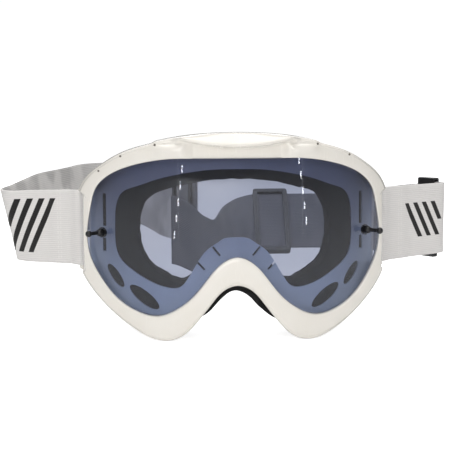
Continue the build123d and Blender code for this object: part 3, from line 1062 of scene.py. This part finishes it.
    def pin_hole(self, x: float, z: float) -> tuple[np.ndarray, np.ndarray]:
        """A small round button on the front: rings of radius r, the last sunk below the surface.

        Args:
            x: Its middle, across.
            z: Its middle, up.

        Returns:
            Its points and quads.
        """
        r = np.array([0.02, 0.25, 0.5, 0.62, 0.66])
        turn = np.linspace(0.0, 2 * np.pi, 20, endpoint=False)
        px, pz = x + r[:, None] * np.cos(turn), z + r[:, None] * np.sin(turn)
        depth = -self.proud - 0.16 - self.front_depth(px, pz)
        depth = depth + np.array([0.0, 0.0, 0.0, 0.02, 0.3])[:, None]
        points = np.stack([px, behind_lens(px, depth), pz], axis=-1)
        return points.reshape(-1, 3), grid_faces(len(r), len(turn), False, True)[:, ::-1]


@dataclass
class Lens:
    """The curved pane in the rim's groove."""

    thickness: float = 1.2
    columns: int = 121

    def build(self, finishes: Finishes) -> bpy.types.Object:
        """Makes the pane.

        Column by column, x = X sin(a) for a from -90 to 90 degrees, the pane runs up its front
        from the lower edge to the upper one and down its back: y is the lens's cylinder, and z
        goes from the outline's low side to its high side.

        Args:
            finishes: The materials.

        Returns:
            The piece.
        """
        half = spline_through(np.array(LENS), 1500)
        tip = int(np.argmax(half[:, 0]))
        x = half[tip, 0] * np.sin(np.linspace(-np.pi / 2, np.pi / 2, self.columns)) * 0.9999
        side = np.abs(x)
        top = np.interp(side, half[:tip + 1, 0], half[:tip + 1, 1])
        low = np.interp(side, half[:tip - 1:-1, 0], half[:tip - 1:-1, 1])
        rise = np.concatenate([[0.0, 0.004], np.linspace(0.02, 0.98, 40), [0.996, 1.0]])
        front = self.column(x, low, top, rise, 0.0)
        back = self.column(x, low, top, rise[::-1], self.thickness)
        points = np.concatenate([front, back], axis=1)
        faces = grid_faces(points.shape[0], points.shape[1], False, True)
        ring = points.shape[1]
        last = (points.shape[0] - 1) * ring
        caps = [np.arange(ring), (last + np.arange(ring))[::-1]]
        obj = new_piece("lens_pane", points, faces, finishes.pane, caps=caps)
        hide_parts("lens")
        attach(obj, "frame")
        return obj

    def column(self, x: np.ndarray, low: np.ndarray, top: np.ndarray, rise: np.ndarray,
               depth: float) -> np.ndarray:
        """Points of one face.

        Args:
            x: Place of each column.
            low: Its lower end.
            top: Its upper end.
            rise: Shares of the way up.
            depth: Depth behind the lens's front.

        Returns:
            The points, a row for each column.
        """
        z = low[:, None] + (top - low)[:, None] * rise[None]
        wide = np.broadcast_to(x[:, None], z.shape)
        return np.stack([wide, behind_lens(wide, depth), z], axis=-1)


# ---- foam ------------------------------------------------------------------------------

@dataclass
class FoamLayer:
    """One ring of the face seal between two depths, with soft edges."""

    name: str
    node: str
    finish: str
    slot: str
    front: float
    back: float
    front_is_seal: bool
    back_is_seal: bool
    soft: float
    swell: float
    fill: float
    around: int = 220

    def build(self, finishes: Finishes) -> bpy.types.Object:
        """Makes the ring.

        The section between window W and edge E is a rounded slab: the point at angle a goes
        across by t = (1 - c(a)) / 2 and through by s = (1 - d(a)) / 2, where c and d are cosine
        and sine raised to a small power, so the corners are round; the sides swell by a
        fraction of a millimetre and the surface undulates slowly round the ring.

        Args:
            finishes: The materials.

        Returns:
            The piece.
        """
        hole, edge = matched_loops(WINDOW, FOAM, FOAM_MARKS, self.around)
        across = edge - hole
        width = np.linalg.norm(across, axis=1)[:, None]
        way = across / width
        turn = np.linspace(0.0, 2 * np.pi, 56, endpoint=False)
        c, d = np.cos(turn), np.sin(turn)
        c = np.sign(c) * np.abs(c) ** self.soft
        d = np.sign(d) * np.abs(d) ** self.soft
        lengthwise = np.linspace(0.0, 2 * np.pi, len(hole), endpoint=False)[:, None]
        ripple = 0.16 * np.sin(23 * lengthwise + 2 * np.sin(5 * lengthwise)) \
            + 0.1 * np.sin(41 * lengthwise)
        inset = 0.25
        q = inset + (width - 2 * inset) * (1.0 - c[None]) / 2.0
        q = q - (self.swell + ripple) * np.sign(c)[None] * (1.0 - np.abs(d)[None] ** 3)
        flat = hole[:, None] + q[..., None] * way[:, None]
        x, z = flat[..., 0], flat[..., 1]
        low = seal_y(x, self.front) if self.front_is_seal else behind_lens(x, self.front)
        high = seal_y(x, self.back) if self.back_is_seal else behind_lens(x, self.back)
        s = (1.0 + d[None]) / 2.0
        points = np.stack([x, low + s * (high - low), z], axis=-1)
        faces = grid_faces(points.shape[0], points.shape[1], True, True)
        obj = new_piece(self.name, points, faces, getattr(finishes, self.finish))
        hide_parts(self.node)
        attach(obj, "frame")
        return obj


@dataclass
class VentPads:
    """The oval filter pads behind the low vents of one side."""

    side: int
    vents: tuple[tuple[float, float, float, float, float], ...] = (
        (52.3, -35.9, 20.5, 7.4, 36.5), (69.0, -24.9, 15.5, 5.4, 55.0))
    overlap: float = 1.2
    front: float = 12.45
    back: float = 15.35

    def build(self, finishes: Finishes) -> bpy.types.Object:
        """Makes both pads of the side as one piece.

        Args:
            finishes: The materials.

        Returns:
            The piece.
        """
        word = "left" if self.side > 0 else "right"
        obj = new_piece(f"filter_pads_{word}", *joined(*[self.pad(*vent) for vent in self.vents]),
                        finishes.filter_foam)
        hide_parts(f"low_vent_foam_{word}")
        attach(obj, "frame")
        return obj

    def pad(self, x: float, z: float, length: float, width: float, slope: float
            ) -> tuple[np.ndarray, np.ndarray]:
        """A crowned oval pad: a superellipse section turned round the oval, closed at two poles.

        Args:
            x: Middle, across.
            z: Middle, up.
            length: Long axis.
            width: Short axis.
            slope: Degrees of the long axis from level.

        Returns:
            Its points and quads.
        """
        rise = np.linspace(-np.pi / 2, np.pi / 2, 17)[:, None]
        turn = np.linspace(0.0, 2 * np.pi, 40, endpoint=False)[None]
        reach = np.maximum(np.cos(rise), 1e-4) ** 0.35
        u = (length / 2 + self.overlap) * reach * np.cos(turn)
        v = (width / 2 + self.overlap) * reach * np.sin(turn)
        angle = math.radians(slope)
        px = self.side * (x + u * math.cos(angle) - v * math.sin(angle))
        pz = z + u * math.sin(angle) + v * math.cos(angle)
        low, high = behind_lens(px, self.front), behind_lens(px, self.back)
        through = (1.0 + np.sign(np.sin(rise)) * np.abs(np.sin(rise)) ** 0.6) / 2.0
        points = np.stack([px, low + through * (high - low), pz], axis=-1).reshape(-1, 3)
        faces = grid_faces(17, 40, False, True)
        return points, faces if self.side < 0 else faces[:, ::-1]


# ---- strap -----------------------------------------------------------------------------

# A lay is runs (length, 0) and bends (radius, degrees); a knot is (distance, height, lean).
LEFT_LAY = ((46.5, 0), (10, 89.4), (60, 0), (25, 53), (62, 0), (14, 55), (38, 0), (14, -55),
            (10, 0))
LEFT_KNOTS = ((0, 1.3, 0), (46, 1.1, 0), (62, 0.8, 0), (85, -2, 2), (105, -3.8, 15), (122, -5, 25),
              (149, -7, 40), (208, -7, 40), (220, -18, 26), (240, -27, 10), (258, -21, 8),
              (272, -11, 6), (285, -6, 4))
RIGHT_LAY = ((46.5, 0), (10, 89.4), (66, 0), (25, 53), (30, 0), (9, 60), (40, 0))
RIGHT_KNOTS = ((0, 1.3, 0), (30, -0.2, 2), (46, -1, 9), (62, 0.5, 15), (90, 7.5, 14), (122, 10, 12),
               (150, 14.5, 34),
               (170, 12.5, 34), (188, 5.5, 4), (190.5, 4.5, 0), (240, 4.5, 0))


@dataclass
class Strap:
    """One side's webbing: sewn round its bar, and laid round the back of the head."""

    side: int
    lay: tuple[tuple[float, float], ...]
    knots: tuple[tuple[float, float, float], ...]
    width: float = 45.0
    thickness: float = 1.6
    start: tuple[float, float] = (97.7, 31.75)
    heading: float = 37.6
    bar: tuple[float, float] = (90.2, 26.0)
    sleeve: float = 2.75
    tongue: float = 20.0
    step: float = 1.3

    @property
    def word(self) -> str:
        """Left or right."""
        return "left" if self.side > 0 else "right"

    def plan(self) -> tuple[np.ndarray, np.ndarray]:
        """The centre line seen from above.

        The heading is the running sum of the turns, straight between their ends and evened
        out over 6 mm, and the place is the running sum of its cosine and sine. Before the
        start comes the sewn end: in along the inner side, a half circle round the bar, and
        out again along the outer side.

        Returns:
            Points (x, y), and the distance from the start at each, negative before it.
        """
        sizes, turns = np.array(self.lay).T
        lengths = np.where(turns == 0, sizes, sizes * np.radians(np.abs(turns)))
        ends = np.concatenate([[0.0], np.cumsum(lengths)])
        headings = self.heading + np.concatenate([[0.0], np.cumsum(turns)])
        s = np.arange(0.0, ends[-1], 0.25)
        kernel = np.ones(25) / 25
        bend = np.convolve(np.pad(np.interp(s, ends, headings), 12, mode="edge"), kernel, "valid")
        way = np.radians(bend)
        x = self.start[0] + np.concatenate([[0.0], np.cumsum(np.cos(way[:-1])) * 0.25])
        y = self.start[1] + np.concatenate([[0.0], np.cumsum(np.sin(way[:-1])) * 0.25])
        main = np.stack([x, y], axis=1)
        h = math.radians(self.heading)
        out, normal = np.array([math.cos(h), math.sin(h)]), np.array([math.sin(h), -math.cos(h)])
        reach = np.linalg.norm(np.array(self.start) - np.array(self.bar))
        gone = reach + s
        lift = 0.85 * (1.0 - smooth(self.tongue - 1.0, self.tongue + 7.0, gone))
        main = main + lift[:, None] * normal
        inner = np.array([[self.tongue - 1.0, -0.85], [14.0, -0.85], [9.0, -0.9], [5.5, -1.5],
                          [2.4, -2.6]])
        turn = np.linspace(-0.5 * np.pi, -1.5 * np.pi, 12)[1:-1]
        loop = self.sleeve * np.stack([np.cos(turn), np.sin(turn)], axis=1)
        outer = np.array([[2.4, 2.6], [5.5, 1.5], [8.0, 0.95]])
        sewn = np.concatenate([inner, loop, outer])
        sewn = np.array(self.bar) + sewn[:, :1] * out + sewn[:, 1:] * normal
        sewn = spline_through(np.concatenate([sewn, main[4:8]]), 160, level_ends=False)[:-4]
        path = np.concatenate([sewn, main[8:]])
        distance = np.concatenate([[0.0], np.cumsum(np.linalg.norm(np.diff(path, axis=0), axis=1))])
        return path, distance - distance[len(sewn)] + 2.0

    def build(self, finishes: Finishes) -> bpy.types.Object:
        """Makes the webbing.

        The section is a flat slab with rounded selvedges, w across and t through, carried
        along the plan. At distance s its middle is (x, y, z(s)), its across direction leans
        back by the angle lean(s), and its outer face looks away from the head: a point is
        middle + w across + t face.

        Args:
            finishes: The materials.

        Returns:
            The piece.
        """
        path, distance = self.plan()
        count = int((distance[-1] - distance[0]) / self.step)
        s = np.linspace(distance[0], distance[-1], count)
        plan = np.stack([np.interp(s, distance, path[:, k]) for k in (0, 1)], axis=1)
        knots = np.array(self.knots)
        soft = np.ones(9) / 9
        z, lean = (np.convolve(np.pad(np.interp(s, knots[:, 0], knots[:, k]), 4, mode="edge"),
                               soft, "valid") for k in (1, 2))
        lean = np.radians(lean)[:, None]
        along = np.gradient(plan, axis=0)
        along = along / np.linalg.norm(along, axis=1, keepdims=True)
        level = np.stack([along[:, 1], -along[:, 0], np.zeros(count)], axis=1)
        up = np.array([[0.0, 0.0, 1.0]])
        across = up * np.cos(lean) + level * np.sin(lean)
        face = level * np.cos(lean) - up * np.sin(lean)
        w, t, v = self.section()
        middle = np.concatenate([plan, z[:, None]], axis=1)
        ripple = 0.12 * np.sin(s[:, None] / 9.0 + w[None] / 8.0) * smooth(22.0, 30.0, s)[:, None]
        points = (middle[:, None] + w[None, :, None] * across[:, None]
                  + (t[None] + ripple)[..., None] * face[:, None])
        points[..., 0] *= self.side
        uv = np.stack([np.broadcast_to(s[:, None], (count, len(w))),
                       np.broadcast_to(v[None], (count, len(w)))], axis=-1)
        faces = grid_faces(count, len(w), False, True)
        ring = np.arange(len(w))
        caps = [ring[::-1], (count - 1) * len(w) + ring]
        if self.side < 0:
            faces, caps = faces[:, ::-1], [cap[::-1] for cap in caps]
        finish = finishes.webbing_left if self.side > 0 else finishes.webbing_right
        obj = new_piece(f"webbing_{self.word}", points, faces, finish, uv=uv * MM, caps=caps)
        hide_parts(f"strap_{self.word}", f"strap_end_{self.word}")
        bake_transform(obj)
        return obj

    def section(self) -> tuple[np.ndarray, np.ndarray, np.ndarray]:
        """The webbing's section, round both faces and both selvedges.

        Returns:
            Places across (w), places through (t), and the map's V in millimetres.
        """
        half, deep = self.width / 2, self.thickness / 2
        flat = np.linspace(-half + 0.5, half - 0.5, 31)
        edge_w = np.array([-0.15, -0.02, -0.0, -0.02, -0.15]) + half
        edge_t = deep * np.array([0.85, 0.5, 0.0, -0.5, -0.85])
        w = np.concatenate([flat, edge_w, flat[::-1], -edge_w])
        t = np.concatenate([np.full(31, deep), edge_t, np.full(31, -deep), -edge_t])
        inner = INNER_V / MM
        v = np.concatenate([flat + half, np.full(3, 2 * half), np.full(2, inner + 2 * half),
                            inner + flat[::-1] + half, np.full(3, inner), np.zeros(2)])
        return w, t, v


@dataclass
class Hardware:
    """The moulded pieces that keep the model's own shapes, given their finishes."""

    black: tuple[str, ...] = ("tear_off_post_left", "tear_off_post_right", "post_lock_left",
                              "post_lock_right", "slider_left", "slider_right",
                              "strap_keeper_left")
    white: tuple[str, ...] = ("face_flange",)

    def dress(self, finishes: Finishes) -> None:
        """Puts each node's finish in its material slots.

        Args:
            finishes: The materials.
        """
        for names, finish in ((self.black, finishes.acetal), (self.white, finishes.flange)):
            for name in names:
                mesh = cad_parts[name].data
                mesh.materials.clear()
                mesh.materials.append(finish)


# ---- studio ----------------------------------------------------------------------------

Place = tuple[float, float, float]


def stand(obj: bpy.types.Object, right: np.ndarray, up: np.ndarray, back: np.ndarray,
          place: np.ndarray | Place) -> None:
    """Puts a lamp or camera in the scene, at a place and looking away from its back.

    Args:
        obj: The object.
        right: Its unit direction to the right.
        up: Its unit direction upwards.
        back: The unit direction that it looks away from.
        place: Where it stands, in metres.
    """
    bpy.context.scene.collection.objects.link(obj)
    matrix = np.eye(4)
    matrix[:3, 0], matrix[:3, 1], matrix[:3, 2], matrix[:3, 3] = right, up, back, place
    obj.matrix_world = Matrix(matrix)


@dataclass(frozen=True)
class Lamp:
    """A rectangular soft light, in metres and watts."""

    name: str
    place: Place
    aim: Place
    size: tuple[float, float]
    power: float
    colour: tuple[float, float, float] = (1.0, 1.0, 1.0)

    def build(self) -> None:
        """Makes the light: its back points from its aim to its place, its right is level."""
        data = bpy.data.lights.new(self.name, "AREA")
        data.shape = "RECTANGLE"
        data.size, data.size_y = self.size
        data.energy, data.color = self.power, self.colour
        obj = bpy.data.objects.new(self.name, data)
        back = np.array(self.place) - np.array(self.aim)
        back = back / np.linalg.norm(back)
        helper = np.array([0.0, 0.0, 1.0]) if abs(back[2]) < 0.95 else np.array([0.0, 1.0, 0.0])
        right = np.cross(helper, back)
        right = right / np.linalg.norm(right)
        stand(obj, right, np.cross(back, right), back, self.place)
        obj.visible_camera = False


@dataclass
class Studio:
    """Pale floor, soft lights and the camera. Places are in metres, turns in degrees."""

    distance: float = 0.700
    turn: float = -2.83
    rise: float = 6.17
    roll: float = -0.33
    target: Place = (-0.00549, -0.004, 0.00498)
    focal: float = 96.53
    floor_half: float = 12.0
    floor_gap: float = 0.0003
    seen: float = 1.05
    given: float = 0.30
    mirrored: float = 0.12
    lamps: tuple[Lamp, ...] = (
        Lamp("top", (0.0, -0.15, 0.95), (0.0, 0.03, 0.0), (1.1, 0.9), 8.0, (1.0, 0.99, 0.97)),
        Lamp("front", (-0.25, -1.25, 0.30), (0.0, 0.0, 0.0), (0.9, 0.5), 5.2,
             (1.0, 0.985, 0.96)),
        Lamp("behind", (0.1, 1.2, 0.7), (0.0, 0.1, 0.0), (1.2, 0.7), 4.0, (0.97, 0.98, 1.0)))
    glints: tuple[tuple[tuple[float, float], tuple[float, float]], ...] = (
        ((-30.5, 39.2), (-35.1, 2.4)), ((35.0, 43.6), (39.3, 9.4)))
    glint_reach: float = 0.42
    dots: int = 5
    dot: tuple[float, float, float] = (0.005, 0.007, 0.0020)
    streak: tuple[float, float, float] = (0.0022, 0.085, 0.0011)

    def axes(self) -> tuple[np.ndarray, np.ndarray, np.ndarray]:
        """The camera's directions before it rolls, from its turn a and its rise e.

        Returns:
            Right (cos a, sin a, 0), up (back x right), and back
            (sin a cos e, -cos a cos e, sin e).
        """
        a, e = math.radians(self.turn), math.radians(self.rise)
        back = np.array([math.sin(a) * math.cos(e), -math.cos(a) * math.cos(e), math.sin(e)])
        right = np.array([math.cos(a), math.sin(a), 0.0])
        return right, np.cross(back, right), back

    def eye(self) -> np.ndarray:
        """The camera's place: its distance back from the target."""
        return np.array(self.target) + self.axes()[2] * self.distance

    def camera(self) -> None:
        """The camera, turned about the goggles, raised above them and rolled."""
        right, up, back = self.axes()
        r = math.radians(self.roll)
        data = bpy.data.cameras.new("camera")
        data.lens, data.sensor_width = self.focal, 36.0
        data.clip_start, data.clip_end = 0.02, 40.0
        obj = bpy.data.objects.new("camera", data)
        stand(obj, right * math.cos(r) + up * math.sin(r), up * math.cos(r) - right * math.sin(r),
              back, self.eye())
        bpy.context.scene.camera = obj

    def glint(self, x: float, z: float, width: float, height: float, power: float) -> None:
        """A small light that the lens mirrors at one of its points.

        The light stands where the line of sight v leaves the lens again: along
        2 (n . v) n - v from the point, with n the lens's normal there.

        Args:
            x: The point, across, in millimetres.
            z: The point, up.
            width: The light's width, in metres.
            height: Its height.
            power: Watts.
        """
        y = float(behind_lens(np.array(x), 0.0))
        point = np.array([x, y, z]) * MM
        sight = self.eye() - point
        sight = sight / np.linalg.norm(sight)
        angle = math.asin(x / LENS_RADIUS)
        normal = np.array([math.sin(angle), -math.cos(angle), 0.0])
        away = 2.0 * float(normal @ sight) * normal - sight
        Lamp(f"glint {x:.0f} {z:.0f}", tuple(point + away * self.glint_reach), tuple(point),
             (width, height), power).build()

    def floor(self, level: float, finish: bpy.types.Material) -> None:
        """A wide floor, as a grid z = level.

        Args:
            level: Its height.
            finish: Its material.
        """
        side = np.linspace(-self.floor_half, self.floor_half, 9) / MM
        x, y = np.meshgrid(side, side, indexing="ij")
        points = np.stack([x, y, np.full_like(x, level / MM)], axis=-1)
        obj = new_piece("floor", points, grid_faces(9, 9, False, False)[:, ::-1], finish,
                        closed=False)
        obj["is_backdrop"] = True

    def world(self) -> None:
        """A pale surround: one brightness for the camera, others for light and reflections."""
        world = bpy.data.worlds.new("studio")
        world.use_nodes = True
        world.node_tree.nodes.clear()
        g = Graph(world.node_tree)
        ray = g.add("LightPath")
        strength = g.ramp(ray.outputs["Is Glossy Ray"], 0.0, 1.0, self.given, self.mirrored)
        strength = g.math("MAXIMUM", strength, g.ramp(ray.outputs["Is Camera Ray"], 0.0, 1.0, 0.0,
                                                      self.seen))
        shade = g.add("Background", {"Color": (0.97, 0.98, 1.0, 1.0), "Strength": strength})
        g.add("OutputWorld", {"Surface": shade.outputs[0]})
        bpy.context.scene.world = world

    def build(self, low: float, finishes: Finishes) -> None:
        """Sets everything up.

        Args:
            low: Height of the object's lowest point.
            finishes: The materials.
        """
        self.camera()
        self.floor(low - self.floor_gap, finishes.floor)
        self.world()
        for lamp in self.lamps:
            lamp.build()
        for start, end in self.glints:
            line = np.linspace(start, end, self.dots)
            for x, z in line:
                self.glint(float(x), float(z), *self.dot)
            self.glint(*np.mean(line[[0, -1]], axis=0).tolist(), *self.streak)
        bpy.context.scene.view_settings.view_transform = "Standard"


def main() -> None:
    """Builds the goggles piece by piece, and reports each."""
    logging.basicConfig(level=logging.INFO, format="%(name)s: %(message)s")
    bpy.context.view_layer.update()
    finishes = Finishes()
    Hardware().dress(finishes)
    log.info("moulded hardware dressed")
    parts = {
        "rim": Rim(),
        "lens": Lens(),
        "base foam": FoamLayer(
            name="base_foam", node="foam_base", finish="base_foam", slot="seal_foam",
            front=12.45, back=15.45, front_is_seal=False, back_is_seal=False,
            soft=0.28, swell=0.1, fill=0.95),
        "core foam": FoamLayer(
            name="core_foam", node="foam_core", finish="core_foam", slot="seal_foam",
            front=15.5, back=2.05, front_is_seal=False, back_is_seal=True,
            soft=0.22, swell=0.35, fill=0.9),
        "fleece": FoamLayer(
            name="fleece_face", node="face_fleece", finish="fleece", slot="fleece",
            front=2.0, back=0.0, front_is_seal=True, back_is_seal=True,
            soft=0.42, swell=0.3, fill=0.85),
        "right filter pads": VentPads(-1),
        "left filter pads": VentPads(1),
        "left strap": Strap(1, LEFT_LAY, LEFT_KNOTS),
        "right strap": Strap(-1, RIGHT_LAY, RIGHT_KNOTS),
    }
    for name, part in parts.items():
        obj = part.build(finishes)
        log.info("%s: %s, %d faces", name, obj.name, len(obj.data.polygons))
    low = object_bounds()[0][2]
    Studio().build(low, finishes)
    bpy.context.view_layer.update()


if __name__ == "__main__":
    main()
